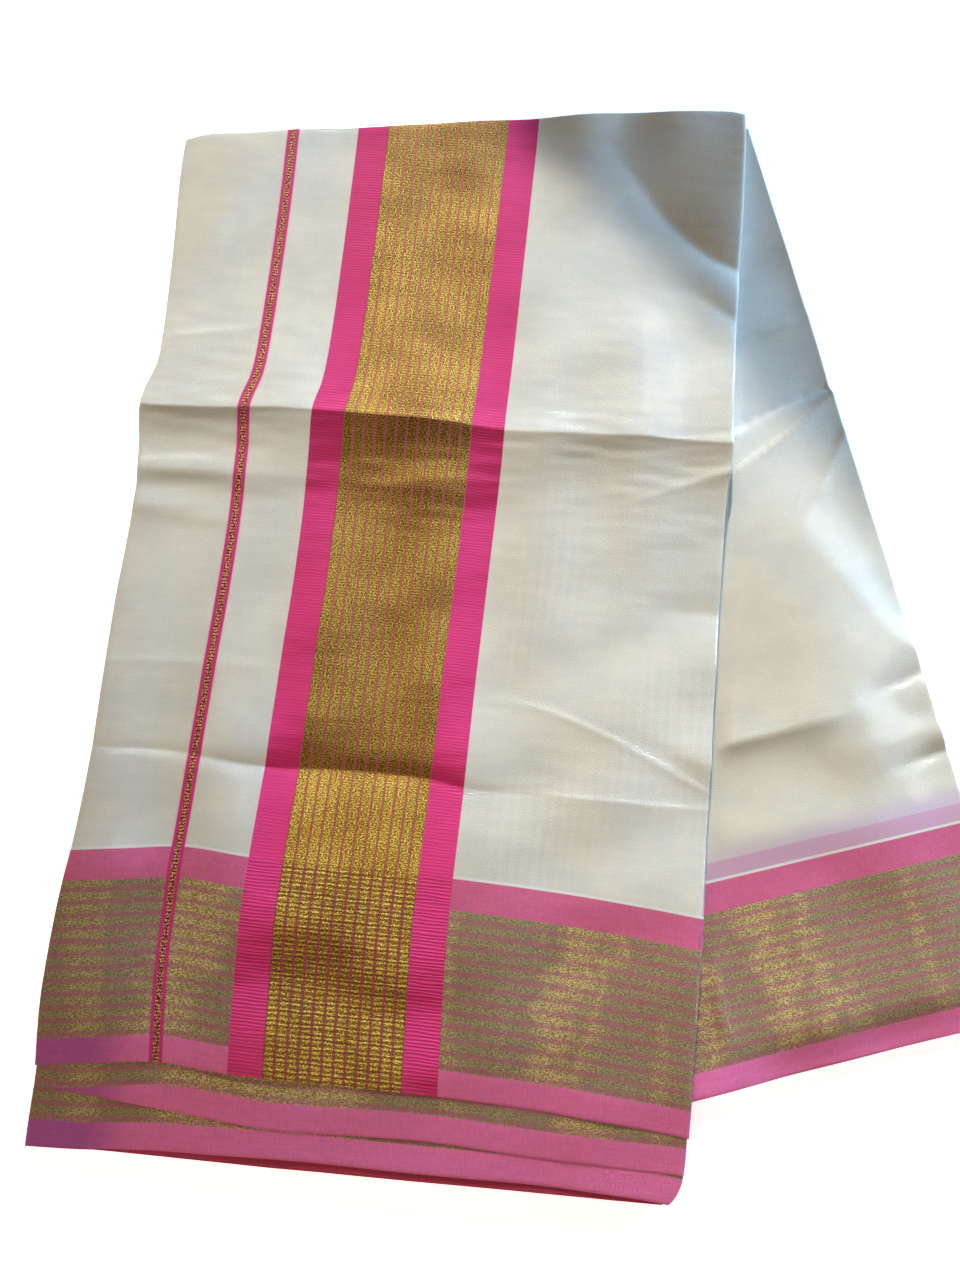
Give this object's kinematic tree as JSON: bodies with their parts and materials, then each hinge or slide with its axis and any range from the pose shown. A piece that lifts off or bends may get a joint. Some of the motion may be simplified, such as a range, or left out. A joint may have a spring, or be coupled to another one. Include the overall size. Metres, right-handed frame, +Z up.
{
  "type": "cotton saree, folded and laid flat",
  "caption": "Cream cotton saree folded into a flat stack, with pink and gold woven borders, a gold cross band and one panel swung out to the right.",
  "frame": {"origin": "middle of the whole folded saree, on the surface that it lies on", "axes": "+X across the stack, along the cloth's length; +Y along the stack, from the selvedges to the top fold; +Z up"},
  "size_m": [0.5596, 0.6764, 0.0157],
  "materials": {
    "cream_cotton": "plain weave unbleached cotton, matt",
    "woven_border": "pink cotton with gold-coloured metallic weft stripes",
    "under_cotton": "plain weave unbleached cotton, matt"
  },
  "bodies": {
    "root": {"front_stretch": "cream_cotton", "second_stretch": "woven_border", "third_stretch": "woven_border", "folded_layers": "under_cotton", "lowest_stretch": "under_cotton", "swung_stretch": "cream_cotton", "swung_layers": "under_cotton"}
  },
  "joints": []
}
